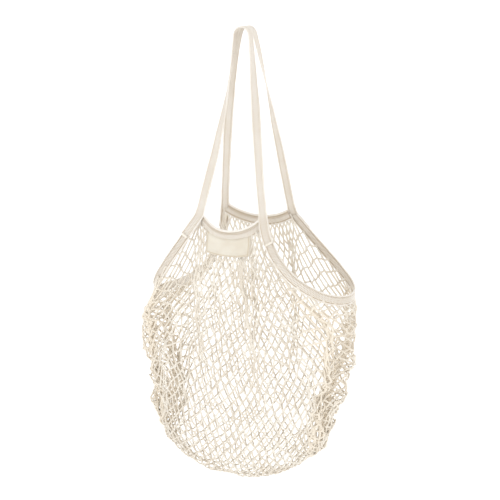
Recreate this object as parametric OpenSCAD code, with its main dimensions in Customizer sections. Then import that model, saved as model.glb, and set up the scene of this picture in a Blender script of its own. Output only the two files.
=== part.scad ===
// Long-handled net shopping and produce bag, hanging empty from one hook.
// Millimetres, +Z up. The origin is the point of the hook that carries both handles.
// +X runs along the front of the bag to its right end, and the front faces -Y.

/* [Handles] */
// Height from the hook down to the four strap feet
foot_drop = 280; // [240:5:320]
// Radius of the hook that the handles hang over
hook_r = 11; // [8:1:14]
// Half the distance between the two feet of the front handle
front_foot_x = 54; // [48:1:60]
// Half the distance between the two feet of the back handle
back_foot_x = 58; // [50:1:64]
// Distance of the front feet in front of the hook
front_foot_y = 47; // [40:1:54]
// Distance of the back feet behind the hook
back_foot_y = 43; // [38:1:50]
// Gap between the two handles where they lie side by side on the hook
handle_gap = 1.4; // [0.8:0.2:4]

/* [Tape] */
// Width of the knitted tape
tape_w = 14; // [10:1:16]
// Thickness of the doubled tape
tape_t = 2.4; // [1.6:0.2:3]
// Distance of each stitch row from the tape's edge
stitch_inset = 2.4; // [1.6:0.2:3.6]
// Width of the sewing thread's ridge
thread_w = 0.9; // [0.6:0.1:1.2]

/* [Mouth] */
// Half the distance between the lowest points of the two side openings
side_half = 160; // [140:2:176]
// Distance of the bag's middle to the right of the hook at the side openings
side_shift = 15; // [0:1:20]
// Depth of the side openings below the feet
side_drop = 121; // [90:1:140]
// How much higher the right side opening hangs than the mean of the two
side_tilt = 9; // [0:1:14]
// Sag of the front edge binding between its feet
front_sag = 24; // [14:1:32]
// Sag of the back edge binding between its feet
back_sag = 18; // [12:1:28]
// How far the edge bindings bow out between their feet
edge_bow = 8; // [2:1:14]

/* [Net] */
// Height from the hook down to the bottom of the net
net_drop = 698; // [660:2:720]
// Half the width of the net at its widest
net_half_w = 176; // [160:2:186]
// Half the depth of the net at its deepest
net_half_d = 64; // [50:1:76]
// Distance of the net's middle to the right of the hook
net_shift = 8; // [0:1:12]
// How far the bottom of the net hangs to the left of its widest part
net_lean = 22; // [0:1:26]
// Thickness that the knotted netting takes up
net_t = 3; // [2:0.5:4]

/* [Label] */
// Width of the blank label
label_w = 72; // [50:1:80]
// Height of the blank label
label_h = 28; // [20:1:34]
// Thickness of the label with its turned edges
label_t = 0.9; // [0.6:0.1:1.4]

/* [Hidden] */

ecru = [0.93, 0.89, 0.83];
shade = [0.88, 0.83, 0.74];
thread = [0.97, 0.95, 0.91];

front = -1;
back = 1;
left = -1;
right = 1;
eps = 0.001;

// ---- Vectors and curves ----

function unit(v) = v / norm(v);
function mix(a, b, k) = a * (1 - k) + b * k;
function smooth(k) = let (c = min(1, max(0, k))) c * c * (3 - 2 * c);
function bezier(p, t) =
    pow(1 - t, 3) * p[0] + 3 * pow(1 - t, 2) * t * p[1] + 3 * (1 - t) * t * t * p[2] + pow(t, 3) * p[3];
// Direction along a list of points at index i
function along(pts, i) = unit(pts[min(i + 1, len(pts) - 1)] - pts[max(i - 1, 0)]);
// Part of n that is square to t
function square_to(n, t) = unit(n - (n * t) * t);

// ---- Feet and mouth ----

function foot(sx, sy) =
    [sx * (sy == front ? front_foot_x : back_foot_x), sy == front ? -front_foot_y : back_foot_y, -foot_drop];
function side_low(sx) = [side_shift + sx * side_half, 0, -foot_drop - side_drop + sx * side_tilt];

// How a side edge leaves its foot; the left one drops more steeply at the back
function foot_lead(sx, sy) =
    sx == left && sy == back ? [sx * 30, sy * 56, -120] : [sx * 45, sy * 56, -87];
// One half of a side opening's edge, from a foot (t = 0) to the lowest point (t = 1)
low_lead = 56;
function side_half_edge(sx, sy, t) =
    let (a = foot(sx, sy), d = side_low(sx))
    bezier([a, a + foot_lead(sx, sy), d + [0, sy * low_lead, 0], d], t);
// Whole side edge, from the front foot (t = 0) round to the back foot (t = 1)
function side_edge(sx, t) =
    t <= 0.5 ? side_half_edge(sx, front, 2 * t) : side_half_edge(sx, back, 2 - 2 * t);

// Front or back edge; k runs from -1 at the left foot to 1 at the right foot
edge_power = 2.4;
function edge_curve(sy, k) =
    let (f = foot(right, sy), lift = pow(abs(k), edge_power), sag = sy == front ? front_sag : back_sag)
    [k * f.x, f.y + sy * edge_bow * (1 - lift), f.z - sag * (1 - lift)];

// Outward direction of the bag's wall at a point of the mouth
wall_a = 174;
wall_b = 75;
function wall_out(p) = unit([(p.x - net_shift) / pow(wall_a, 2), p.y / pow(wall_b, 2), 0]);

// ---- Handles ----

crown_r = hook_r + tape_t / 2;
crown_y = (tape_w + handle_gap) / 2;
front_splay = 6;
back_splay = 15;
crown_lead = 90;
foot_pull_front = [-18, 15, 88];
foot_pull_back = [-12, -15, 88];

// Leg from the crown's end (t = 0) to the foot (t = 1), for the right side
function handle_leg(sy, t) =
    let (
        splay = sy == front ? front_splay : back_splay,
        top = [crown_r * cos(splay), sy * crown_y, crown_r * (sin(splay) - 1) + tape_t / 2],
        end = foot(right, sy)
    )
    bezier([
        top,
        top + crown_lead * [sin(splay), 0, -cos(splay)],
        end + (sy == front ? foot_pull_front : foot_pull_back),
        end
    ], t);
// Crown over the hook; k runs from 0 at the top to 1 at the right leg
function handle_crown(sy, k) =
    let (a = k * (90 - (sy == front ? front_splay : back_splay)))
    [crown_r * sin(a), sy * crown_y, crown_r * (cos(a) - 1) + tape_t / 2];

leg_steps = 24;
crown_steps = 7;
// Right half of a handle, from the middle of the crown down to the foot
function half_handle(sy) = concat(
    [for (i = [0:crown_steps - 1]) handle_crown(sy, i / crown_steps)],
    [for (i = [0:leg_steps]) handle_leg(sy, i / leg_steps)]
);
function flip_x(p) = [-p.x, p.y, p.z];
// Whole handle, from the left foot over the hook to the right foot
function handle_path(sy) =
    let (h = half_handle(sy), n = len(h))
    concat([for (i = [n - 1:-1:1]) flip_x(h[i])], h);
// The tape faces out of the bag at its feet and turns to lie flat on the hook
turn_start = 0.25;
function handle_face(sy, p, t) =
    let (
        down = (-p.z) / foot_drop,
        turn = 90 * smooth((down - 0.02) / (1 - turn_start)),
        up = unit([sin(90 * p.x / crown_r), 0, cos(90 * p.x / crown_r)]),
        side = [p.x < 0 ? -1 : 1, 0, 0],
        high = down < 0.04 ? up : side
    )
    square_to(high * cos(turn) + [0, sy, 0] * sin(turn), t);

// ---- Tape, thread and other swept shapes ----

// Closed solid through rings of equal length; each ring runs round the section
module loft(rings) {
    n = len(rings);
    m = len(rings[0]);
    points = [for (r = rings) for (p = r) p];
    walls = [
        for (i = [0:n - 2]) for (j = [0:m - 1])
            let (a = i * m + j, b = i * m + (j + 1) % m, c = a + m, d = b + m)
            each [[a, c, b], [b, c, d]]
    ];
    start = [for (j = [1:m - 2]) [0, j, j + 1]];
    end = [for (j = [1:m - 2]) [(n - 1) * m, (n - 1) * m + j + 1, (n - 1) * m + j]];
    polyhedron(points, concat(walls, start, end), convexity = 8);
}

// Rounded tape section of width w and thickness t
function tape_section(w, t) =
    let (r = t * 0.3)
    [
        [-w / 2 + r, -t / 2], [w / 2 - r, -t / 2], [w / 2, -t / 2 + r], [w / 2, t / 2 - r],
        [w / 2 - r, t / 2], [-w / 2 + r, t / 2], [-w / 2, t / 2 - r], [-w / 2, -t / 2 + r]
    ];
thread_h = 0.6;
thread_sink = 0.15;
function thread_section(w, h) = [[-w / 2, 0], [w / 2, 0], [w * 0.3, h], [-w * 0.3, h]];

// Rings of a section swept along pts; outs are the directions that the tape faces.
// across moves the section over the tape's width and above lifts it off the middle.
function tape_rings(pts, outs, section, across = 0, above = 0) = [
    for (i = [0:len(pts) - 1])
        let (t = along(pts, i), n = square_to(outs[i], t), w = cross(n, t))
        [for (q = section) pts[i] + w * (q.x + across) + n * (q.y + above)]
];

module tape(pts, outs) {
    loft(tape_rings(pts, outs, tape_section(tape_w, tape_t)));
}
module stitch_rows(pts, outs) {
    for (row = [-1, 1])
        loft(tape_rings(
            pts, outs, thread_section(thread_w, thread_h),
            row * (tape_w / 2 - stitch_inset), tape_t / 2 - thread_sink
        ));
}

// ---- Bag bindings ----

side_steps = 44;
side_start = 0.022;
function side_points(sx) =
    [for (i = [0:side_steps]) side_edge(sx, side_start + (1 - 2 * side_start) * i / side_steps)];
edge_steps = 20;
edge_reach = 0.88;
function edge_points(sy) =
    [for (i = [0:edge_steps]) edge_curve(sy, edge_reach * (2 * i / edge_steps - 1))];
function outs_at(pts) = [for (p = pts) wall_out(p)];
// The edge bindings lie under the ends of the side bindings
tuck = 2.8;
function tucked(pts, sy) =
    [for (p = pts) p - [0, sy * tuck * pow(abs(p.x) / front_foot_x, 4), 0]];

module edge_binding(sy) {
    color(ecru) {
        pts = tucked(edge_points(sy), sy);
        tape(pts, outs_at(pts));
    }
}
module edge_stitching(sy) {
    color(thread) {
        pts = tucked(edge_points(sy), sy);
        stitch_rows(pts, outs_at(pts));
    }
}
module side_binding(sx) {
    color(ecru) {
        pts = side_points(sx);
        tape(pts, outs_at(pts));
    }
}
module side_stitching(sx) {
    color(thread) {
        pts = side_points(sx);
        stitch_rows(pts, outs_at(pts));
    }
}

// Bar of dense stitches that holds the layers together below a foot
tack_w = 11;
tack_h = 3.2;
tack_t = 1.2;
tack_at = 0.06;
module foot_tack(sx, sy) {
    p = side_half_edge(sx, sy, tack_at * 2);
    t = unit(side_half_edge(sx, sy, tack_at * 2 + eps) - p);
    n = square_to(wall_out(p), t);
    w = cross(n, t);
    color(thread)
        multmatrix([
            [w.x, t.x, n.x, p.x],
            [w.y, t.y, n.y, p.y],
            [w.z, t.z, n.z, p.z],
            [0, 0, 0, 1]
        ])
            translate([-tack_w / 2, -tack_h / 2, tape_t / 2 - thread_sink])
                cube([tack_w, tack_h, tack_t]);
}

// ---- Net ----

net_top = 430;
side_power = [3, 2];
depth_power = [1.8, 1.6];
rim_drop = 5;
rim_blend = 80;
around = 64;
rows = 20;
foot_share = 0.085;

function fall(z) = min(1, max(0, (-z - net_top) / (net_drop - net_top)));
function swell(k, power) = pow(max(0, 1 - pow(k, power[0])), 1 / power[1]);
lean_power = 0.9;
function middle_x(z) = net_shift - net_lean * pow(fall(z), lean_power);
function ring_a(z) = net_half_w * swell(fall(z), side_power);
function ring_b(z) = net_half_d * swell(fall(z), depth_power);

// Rim of the net at a share s of the way round, from the middle of the front to the right
function rim(s) =
    let (q = s % 1, h = q < 0.5 ? q : 1 - q, sx = q < 0.5 ? right : left)
    h < foot_share ? edge_curve(front, sx * h / foot_share)
    : h > 0.5 - foot_share ? edge_curve(back, sx * (0.5 - h) / foot_share)
    : side_edge(sx, (h - foot_share) / (0.5 - 2 * foot_share));

// Point of the net at share s round and share v down from the rim to the bottom
function net_point(s, v, inset) =
    let (
        r = rim(s),
        top_z = r.z - rim_drop,
        low_z = -net_drop + inset,
        z = mix(top_z, low_z, pow(v, 0.85)),
        k = smooth((top_z - z) / rim_blend),
        ring = [middle_x(z) + ring_a(z) * sin(360 * s), -ring_b(z) * cos(360 * s), 0],
        base = mix([r.x, r.y, 0], ring, k),
        wall = mix(tape_t * 0.4, net_t, min(1, k * 4)),
        inward = -wall_out([base.x, base.y, 0]) * (inset > 0 ? wall / 2 : -wall / 2)
    )
    [base.x + inward.x, base.y + inward.y, z];

function net_ring(v, inset) = [for (i = [0:around - 1]) net_point(i / around, v, inset)];
last_row = 0.985;
function net_side(inset) = [for (j = [0:rows]) net_ring(last_row * j / rows, inset)];

// Closed shell: outer wall down to the bottom, inner wall back up to the rim
module net_body() {
    outer = net_side(0);
    inner = net_side(net_t);
    rings = concat(
        [for (j = [rows:-1:0]) inner[j]],
        outer
    );
    n = len(rings);
    points = concat(
        [for (r = rings) for (p = r) p],
        [[middle_x(-net_drop), 0, -net_drop + net_t], [middle_x(-net_drop), 0, -net_drop]]
    );
    walls = [
        for (i = [0:n - 2]) for (j = [0:around - 1])
            let (a = i * around + j, b = i * around + (j + 1) % around, c = a + around, d = b + around)
            each [[a, b, c], [b, d, c]]
    ];
    inner_pole = [for (j = [0:around - 1]) [n * around, (j + 1) % around, j]];
    outer_pole = [
        for (j = [0:around - 1])
            [n * around + 1, (n - 1) * around + j, (n - 1) * around + (j + 1) % around]
    ];
    color(shade) polyhedron(points, concat(walls, inner_pole, outer_pole), convexity = 10);
}

// Cord laced through the last meshes, which closes the tube along its lower outline
closing_half = 153;
closing_r = 1.6;
closing_steps = 40;
closing_sides = 8;
// Height of the net's outline at a distance x from its middle at that height
function outline_z(x) =
    let (k = pow(1 - pow(abs(x) / net_half_w, side_power[1]), 1 / side_power[0]))
    -mix(net_top, net_drop, k);
module bottom_closing_cord() {
    pts = [
        for (i = [0:closing_steps])
            let (x = closing_half * sin(90 * (2 * i / closing_steps - 1)), z = outline_z(x))
            [x + middle_x(z), 0, z + closing_r]
    ];
    section = [
        for (j = [0:closing_sides - 1])
            closing_r * [cos(360 * j / closing_sides), sin(360 * j / closing_sides)]
    ];
    color(ecru) loft(tape_rings(pts, [for (p = pts) [0, -1, 0]], section));
}

// ---- Label ----

label_top = -foot_drop - front_sag - 3;
label_gap = 0.3;
label_cols = 18;
label_rows = 5;
// Front face of the net where the label lies
function label_place(x, z, above) =
    let (
        r = edge_curve(front, x / front_foot_x),
        k = smooth((r.z - rim_drop - z) / rim_blend),
        y = mix(r.y, -ring_b(z), k)
    )
    [x, min(y, r.y) - net_t / 2 - label_gap - above, z];
function label_point(i, j, above) =
    let (x = label_w * (i / label_cols - 0.5), z = label_top - label_h * j / label_rows)
    label_place(x, z, above);

// Curved sheet between two surfaces of the label
module label_sheet(cols, low, high) {
    loft([
        for (i = cols)
            concat(
                [for (j = [0:label_rows]) label_point(i, j, low)],
                [for (j = [label_rows:-1:0]) label_point(i, j, high)]
            )
    ]);
}
module label_patch() {
    color(ecru) label_sheet([0:label_cols], 0, label_t);
}
label_seam = 1.8;
module label_stitching() {
    x_side = label_w / 2 - label_seam;
    z_low = label_top - label_h + label_seam;
    row = [for (i = [0:label_cols]) label_place(x_side * (2 * i / label_cols - 1), z_low, label_t)];
    color(thread) {
        loft(tape_rings(row, [for (p = row) [0, -1, 0]], thread_section(thread_w, thread_h / 2)));
        for (sx = [left, right]) {
            edge = [
                for (j = [0:label_rows])
                    label_place(sx * x_side, mix(z_low + 2, label_top - 2, j / label_rows), label_t)
            ];
            loft(tape_rings(edge, [for (p = edge) [0, -1, 0]], thread_section(thread_w, thread_h / 2)));
        }
    }
}

// ---- Handle pieces ----

function handle_outs(sy) =
    let (pts = handle_path(sy))
    [for (i = [0:len(pts) - 1]) handle_face(sy, pts[i], along(pts, i))];
module handle_strap(sy) {
    color(ecru) tape(handle_path(sy), handle_outs(sy));
}
module handle_stitching(sy) {
    color(thread) stitch_rows(handle_path(sy), handle_outs(sy));
}

module front_edge_binding() { edge_binding(front); }
module back_edge_binding() { edge_binding(back); }
module left_side_binding() { side_binding(left); }
module right_side_binding() { side_binding(right); }
module front_edge_stitching() { edge_stitching(front); }
module back_edge_stitching() { edge_stitching(back); }
module left_side_stitching() { side_stitching(left); }
module right_side_stitching() { side_stitching(right); }
module front_left_tack() { foot_tack(left, front); }
module front_right_tack() { foot_tack(right, front); }
module back_left_tack() { foot_tack(left, back); }
module back_right_tack() { foot_tack(right, back); }
module front_handle_strap() { handle_strap(front); }
module back_handle_strap() { handle_strap(back); }
module front_handle_stitching() { handle_stitching(front); }
module back_handle_stitching() { handle_stitching(back); }

net_body();
bottom_closing_cord();
front_edge_binding();
back_edge_binding();
left_side_binding();
right_side_binding();
front_edge_stitching();
back_edge_stitching();
left_side_stitching();
right_side_stitching();
front_left_tack();
front_right_tack();
back_left_tack();
back_right_tack();
label_patch();
label_stitching();
front_handle_strap();
back_handle_strap();
front_handle_stitching();
back_handle_stitching();
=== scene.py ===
"""Long-handled cotton net bag, hanging empty: netting, knitted tape, stitching and label."""

import math

import bpy
import numpy as np
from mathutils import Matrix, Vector


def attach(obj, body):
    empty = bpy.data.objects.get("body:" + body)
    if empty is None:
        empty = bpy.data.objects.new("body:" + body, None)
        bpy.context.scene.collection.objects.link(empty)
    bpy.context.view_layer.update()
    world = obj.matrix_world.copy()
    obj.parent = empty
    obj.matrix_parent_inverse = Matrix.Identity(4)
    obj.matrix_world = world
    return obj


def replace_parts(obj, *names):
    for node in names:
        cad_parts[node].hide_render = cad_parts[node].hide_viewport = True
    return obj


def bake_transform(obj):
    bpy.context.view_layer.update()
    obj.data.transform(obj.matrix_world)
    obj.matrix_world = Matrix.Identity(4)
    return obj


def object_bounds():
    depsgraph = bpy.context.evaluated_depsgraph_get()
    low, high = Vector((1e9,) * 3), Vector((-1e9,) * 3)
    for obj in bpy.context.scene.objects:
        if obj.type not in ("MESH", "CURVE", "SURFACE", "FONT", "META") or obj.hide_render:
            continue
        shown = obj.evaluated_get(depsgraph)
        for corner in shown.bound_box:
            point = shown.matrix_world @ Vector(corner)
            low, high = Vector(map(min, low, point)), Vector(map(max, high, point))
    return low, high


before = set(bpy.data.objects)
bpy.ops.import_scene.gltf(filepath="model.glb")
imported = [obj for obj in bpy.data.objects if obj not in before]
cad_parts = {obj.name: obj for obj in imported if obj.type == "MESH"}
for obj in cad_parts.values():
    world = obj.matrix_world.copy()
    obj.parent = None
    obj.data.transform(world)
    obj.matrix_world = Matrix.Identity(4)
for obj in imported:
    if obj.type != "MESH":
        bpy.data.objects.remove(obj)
cad_box = [list(corner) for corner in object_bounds()]

# ------------ sizes, in millimetres

MM = 0.001
FRONT, BACK, LEFT, RIGHT = -1, 1, -1, 1
NAME = {FRONT: "front", BACK: "back"}
SIDE_NAME = {LEFT: "left", RIGHT: "right"}

FOOT_DROP = 280.0
FOOT_X = {FRONT: 54.0, BACK: 58.0}
FOOT_Y = {FRONT: -47.0, BACK: 43.0}
HOOK_R = 11.0
HANDLE_GAP = 1.4
TAPE_W = 14.0
TAPE_T = 2.4
STITCH_INSET = 2.4
SIDE_HALF, SIDE_SHIFT, SIDE_DROP, SIDE_TILT = 160.0, 15.0, 121.0, 9.0
EDGE_SAG = {FRONT: 24.0, BACK: 18.0}
EDGE_BOW = 8.0
EDGE_POWER = 2.4
EDGE_TUCK = 2.8
NET_DROP, NET_TOP = 698.0, 430.0
NET_HALF_W, NET_HALF_D, NET_SHIFT = 176.0, 64.0, 8.0
NET_LEAN, LEAN_POWER = 22.0, 0.9
SIDE_POWER, DEPTH_POWER = (3.0, 2.0), (1.8, 1.6)
WALL_A, WALL_B = 174.0, 75.0
CLOSING_HALF = 153.0
LABEL_W, LABEL_H = 72.0, 28.0
# Drop over which the wall goes over from the mouth's shape to the net's own depth
MOUTH_EASE = 80.0

# ------------ vectors and paths


def unit(v):
    return v / np.maximum(np.linalg.norm(v, axis=-1, keepdims=True), 1e-9)


def dot(a, b):
    return (a * b).sum(-1, keepdims=True)


def mix(a, b, k):
    """a where k is 0, b where k is 1, and a mixture between."""
    return a * (1 - k) + b * k


def smooth(k):
    """An eased step from 0 to 1 as k goes from 0 to 1."""
    k = np.clip(k, 0.0, 1.0)
    return k * k * (3 - 2 * k)


def bump_between(k, a, b, ease=0.1):
    """0 outside a to b, and 1 within it, with an eased step of width ease at both ends."""
    return smooth((k - a) / ease) * smooth((b - k) / ease)


def bezier(p, t):
    t = np.asarray(t, float)[..., None]
    s = 1 - t
    return s**3 * p[0] + 3 * s * s * t * p[1] + 3 * s * t * t * p[2] + t**3 * p[3]


def square_to(n, t):
    """The part of n that is square to t, at unit length."""
    return unit(n - dot(n, t) * t)


def tangents(pts):
    return unit(np.gradient(pts, axis=0))


def lengths_along(pts):
    return np.concatenate([[0.0], np.cumsum(np.linalg.norm(np.diff(pts, axis=0), axis=1))])


def read_at(where, known, values):
    """Values that belong to the distances known, read off at the distances where."""
    return np.stack([np.interp(where, known, values[:, k]) for k in range(values.shape[1])], 1)


def at_lengths(pts, where, values=None):
    """Points of a path, or values that go with its points, at distances where along it."""
    return read_at(where, lengths_along(pts), pts if values is None else values)


def blurred(values, reach):
    """values along a path, averaged over reach samples each way, with the ends held."""
    kernel = np.hanning(2 * reach + 3)[1:-1]
    kernel /= kernel.sum()
    padded = np.concatenate([[values[0]] * reach, values, [values[-1]] * reach])
    return np.stack([np.convolve(padded[:, k], kernel, "valid") for k in range(values.shape[1])], 1)


def spaced(pts, step):
    """Distances along a path, step apart, that take in both of its ends."""
    total = lengths_along(pts)[-1]
    return np.linspace(0, total, max(2, round(total / step) + 1))


# ------------ the bag's curves, as in CAD


def foot(sx, sy):
    return np.array([sx * FOOT_X[sy], FOOT_Y[sy], -FOOT_DROP])


def side_low(sx):
    return np.array([SIDE_SHIFT + sx * SIDE_HALF, 0.0, -FOOT_DROP - SIDE_DROP + sx * SIDE_TILT])


def side_edge(sx, t):
    """Edge of a side opening, from the front foot (t = 0) to the back foot (t = 1)."""
    t = np.asarray(t, float)
    low = side_low(sx)

    def half(sy, k):
        a = foot(sx, sy)
        steep = sx == LEFT and sy == BACK
        lead = [sx * 30, sy * 56, -120] if steep else [sx * 45, sy * 56, -87]
        return bezier([a, a + lead, low + [0, sy * 56, 0], low], k)

    return np.where((t <= 0.5)[..., None], half(FRONT, 2 * t), half(BACK, 2 - 2 * t))


def edge_curve(sy, k):
    """Front or back edge, from the left foot (k = -1) to the right foot (k = 1)."""
    k = np.asarray(k, float)
    lift = np.abs(k) ** EDGE_POWER
    f = foot(RIGHT, sy)
    return np.stack([k * f[0], f[1] + sy * EDGE_BOW * (1 - lift), f[2] - EDGE_SAG[sy] * (1 - lift)], -1)


def wall_out(p):
    """Outward direction of the bag's wall at points of the mouth."""
    out = np.zeros_like(p)
    out[..., 0] = (p[..., 0] - NET_SHIFT) / WALL_A**2
    out[..., 1] = p[..., 1] / WALL_B**2
    return unit(out)


def handle_half(sy):
    """Right half of a handle, from the middle of the crown to the foot."""
    splay = math.radians(6 if sy == FRONT else 15)
    crown_r = HOOK_R + TAPE_T / 2
    crown_y = sy * (TAPE_W + HANDLE_GAP) / 2
    a = np.linspace(0, math.pi / 2 - splay, 24)
    crown = np.stack([crown_r * np.sin(a), 0 * a + crown_y, crown_r * (np.cos(a) - 1) + TAPE_T / 2], 1)
    top, end = crown[-1], foot(RIGHT, sy)
    pull = [-18, 15, 88] if sy == FRONT else [-12, -15, 88]
    lead = 90 * np.array([math.sin(splay), 0, -math.cos(splay)])
    leg = bezier([top, top + lead, end + pull, end], np.linspace(0, 1, 120))
    return np.concatenate([crown, leg[1:]])


def handle_face(sy, p):
    """The side of a handle's tape that faces out at the feet and up on the hook."""
    down = -p[:, 2:] / FOOT_DROP
    turn = math.pi / 2 * smooth((down - 0.02) / 0.75)
    bend = math.pi / 2 * np.clip(p[:, :1] / (HOOK_R + TAPE_T / 2), -1, 1)
    high = np.concatenate([np.sin(bend), 0 * bend, np.cos(bend)], 1)
    side = np.concatenate([np.sign(p[:, :1]), 0 * bend, 0 * bend], 1)
    high = mix(high, side, smooth((down - 0.02) / 0.03))
    return unit(high * np.cos(turn) + np.array([0, sy, 0]) * np.sin(turn))


def fall(z):
    """How far down the net's rounded lower part height z lies, from 0 to 1."""
    return np.clip((-z - NET_TOP) / (NET_DROP - NET_TOP), 0, 1)


def middle_x(z):
    return NET_SHIFT - NET_LEAN * fall(z) ** LEAN_POWER


def half_width(z):
    return NET_HALF_W * (1 - fall(z) ** SIDE_POWER[0]) ** (1 / SIDE_POWER[1])


def half_depth(z):
    return NET_HALF_D * (1 - fall(z) ** DEPTH_POWER[0]) ** (1 / DEPTH_POWER[1])


def outline_z(x):
    """Height of the net's lower outline at a distance x from its middle."""
    k = (1 - (np.abs(x) / NET_HALF_W) ** SIDE_POWER[1]) ** (1 / SIDE_POWER[0])
    return -mix(NET_TOP, NET_DROP, k)


LABEL_TOP = -FOOT_DROP - EDGE_SAG[FRONT] - 3


def label_y(x, z):
    """Depth of the label's middle surface: on the net, and behind the tape at its top."""
    edge = edge_curve(FRONT, x / FOOT_X[FRONT])
    y_net = mix(edge[..., 1], -half_depth(z), smooth((edge[..., 2] - 5 - z) / MOUTH_EASE))
    under_tape = 1 - smooth((edge[..., 2] - 4.5 - z) / 3.5)
    return mix(np.minimum(y_net, edge[..., 1]) - 3.0, edge[..., 1] + 0.2, under_tape)


# ------------ meshes


def placed(name, data):
    """A new object in the scene."""
    obj = bpy.data.objects.new(name, data)
    bpy.context.scene.collection.objects.link(obj)
    return obj


def mesh_piece(name, verts, faces, material, uv=None, values=None):
    """A piece from points in millimetres and arrays of faces. uv has a pair for each face corner."""
    me = bpy.data.meshes.new(name)
    sizes = np.concatenate([np.full(len(f), f.shape[1]) for f in faces])
    corners = np.concatenate([f.ravel() for f in faces]).astype(np.int32)
    starts = np.concatenate([[0], np.cumsum(sizes)[:-1]]).astype(np.int32)
    me.vertices.add(len(verts))
    me.vertices.foreach_set("co", (np.asarray(verts) * MM).astype(np.float32).ravel())
    me.loops.add(len(corners))
    me.loops.foreach_set("vertex_index", corners)
    me.polygons.add(len(sizes))
    me.polygons.foreach_set("loop_start", starts)
    me.polygons.foreach_set("use_smooth", np.ones(len(sizes), bool))
    me.update(calc_edges=True)
    if uv is not None:
        me.uv_layers.new(name="yarn").data.foreach_set("uv", uv.astype(np.float32).ravel())
    for key, numbers in (values or {}).items():
        layer = me.attributes.new(key, "FLOAT", "POINT")
        layer.data.foreach_set("value", np.asarray(numbers, np.float32))
    me.materials.append(material)
    return placed(name, me)


def tube_faces(paths, rings, sides):
    """Quads along many tubes, and one cap at each of their ends."""
    start = np.arange(paths)[:, None, None] * rings * sides
    i = np.arange(rings - 1)[None, :, None] * sides
    j = np.arange(sides)[None, None]
    k = (j + 1) % sides
    near, far = start + i, start + i + sides
    quads = np.stack(np.broadcast_arrays(near + j, near + k, far + k, far + j), -1).reshape(-1, 4)
    first = (start[:, 0] + np.arange(sides)[::-1]).reshape(-1, sides)
    last = (start[:, 0] + (rings - 1) * sides + np.arange(sides)).reshape(-1, sides)
    return quads, np.concatenate([first, last])


def tube_uv(paths, rings, sides, along):
    """Yarn coordinates of tube_faces: u once round the tube, v in millimetres along it."""
    u = np.stack([np.arange(sides), np.arange(1, sides + 1)]) / sides
    low, high = along[:, :-1, None], along[:, 1:, None]
    shape = (paths, rings - 1, sides)
    corner_u = [u[0], u[1], u[1], u[0]]
    corner_v = [low, low, high, high]
    uv = [np.stack(np.broadcast_arrays(a + np.zeros(shape), b), -1) for a, b in zip(corner_u, corner_v)]
    caps = np.zeros((2 * paths * sides, 2))
    return np.concatenate([np.stack(uv, 3).reshape(-1, 2), caps])


def frames_along(pts):
    """Two directions square to many paths at once, turning as little as they can."""
    t = unit(np.gradient(pts, axis=1))
    n = np.empty_like(t)
    n[:, 0] = square_to(np.array([0.1, -1.0, 0.05]) + 0 * t[:, 0], t[:, 0])
    for i in range(1, pts.shape[1]):
        n[:, i] = square_to(n[:, i - 1], t[:, i])
    return n, np.cross(t, n)


def tubes(pts, radius, sides, lobes=0, lobe=0.0, twist=1.0):
    """Points, faces and yarn coordinates of a tube along each path, with twisted plies if asked."""
    paths, rings = pts.shape[:2]
    a, b = frames_along(pts)
    steps = np.linalg.norm(np.diff(pts, axis=1), axis=2)
    along = np.concatenate([np.zeros((paths, 1)), np.cumsum(steps, 1)], 1)
    angle = 2 * math.pi * np.arange(sides) / sides
    ply = 1 + lobe * np.cos(lobes * (angle - 2 * math.pi * along[..., None] / twist))
    r = (np.zeros((paths, rings)) + radius)[..., None] * ply
    round_it = np.cos(angle)[:, None] * a[:, :, None] + np.sin(angle)[:, None] * b[:, :, None]
    verts = pts[:, :, None] + r[..., None] * round_it
    faces = tube_faces(paths, rings, sides)
    return verts.reshape(-1, 3), faces, tube_uv(paths, rings, sides, along)


def through(points, steps):
    """Smooth curves through many rows of points, with steps stretches between neighbours."""
    before = np.concatenate([2 * points[:, :1] - points[:, 1:2], points[:, :-1]], 1)
    after = np.concatenate([points[:, 1:], 2 * points[:, -1:] - points[:, -2:-1]], 1)
    slope = (after - before) / 2
    p, q, m, n = points[:, :-1, None], points[:, 1:, None], slope[:, :-1, None], slope[:, 1:, None]
    t = (np.arange(steps) / steps)[None, None, :, None]
    curve = (
        (2 * t**3 - 3 * t**2 + 1) * p + (t**3 - 2 * t**2 + t) * m
        + (3 * t**2 - 2 * t**3) * q + (t**3 - t**2) * n
    )
    return np.concatenate([curve.reshape(len(points), -1, 3), points[:, -1:]], 1)


# ------------ net: where its knots hang

COLS = 72
HALF_ROWS = 36
KNOT_ROW = np.arange(HALF_ROWS + 1)[:, None]
# Columns along half of the front or back edge, and along a whole side opening
EDGE_COLS = 9.0
SIDE_COLS = 18.0
QUARTER = COLS / 4
BAR = 12.0
CORD_R = 1.3
# Heights at which the side columns and the middle ones have spread out in full
MID_Z = -470.0
FAN_Z = -550.0
# Share of the way from a layer's middle to its side that the columns of its edge take up
EDGE_SHARE = 0.62
# How far below the middle line of the bindings the cords begin
CORD_START = 4.6
rng = np.random.default_rng(41)


def rim(u):
    """Middle line of the bindings at column u, and the way down from it within the wall."""

    def place(u):
        u = u % COLS
        h = np.minimum(u, COLS - u)
        sx = np.where(u < COLS / 2, RIGHT, LEFT)
        side = (h - EDGE_COLS) / SIDE_COLS
        side = np.where((sx == RIGHT)[..., None], side_edge(RIGHT, side), side_edge(LEFT, side))
        front = edge_curve(FRONT, sx * h / EDGE_COLS)
        back = edge_curve(BACK, sx * (COLS / 2 - h) / EDGE_COLS)
        p = np.where((h < EDGE_COLS)[..., None], front, side)
        return np.where((h > EDGE_COLS + SIDE_COLS)[..., None], back, p)

    p = place(u)
    along = unit(place(u + 0.05) - place(u - 0.05))
    down = np.cross(wall_out(p), along)
    return p, unit(down * -np.sign(down[..., 2:]))


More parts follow.
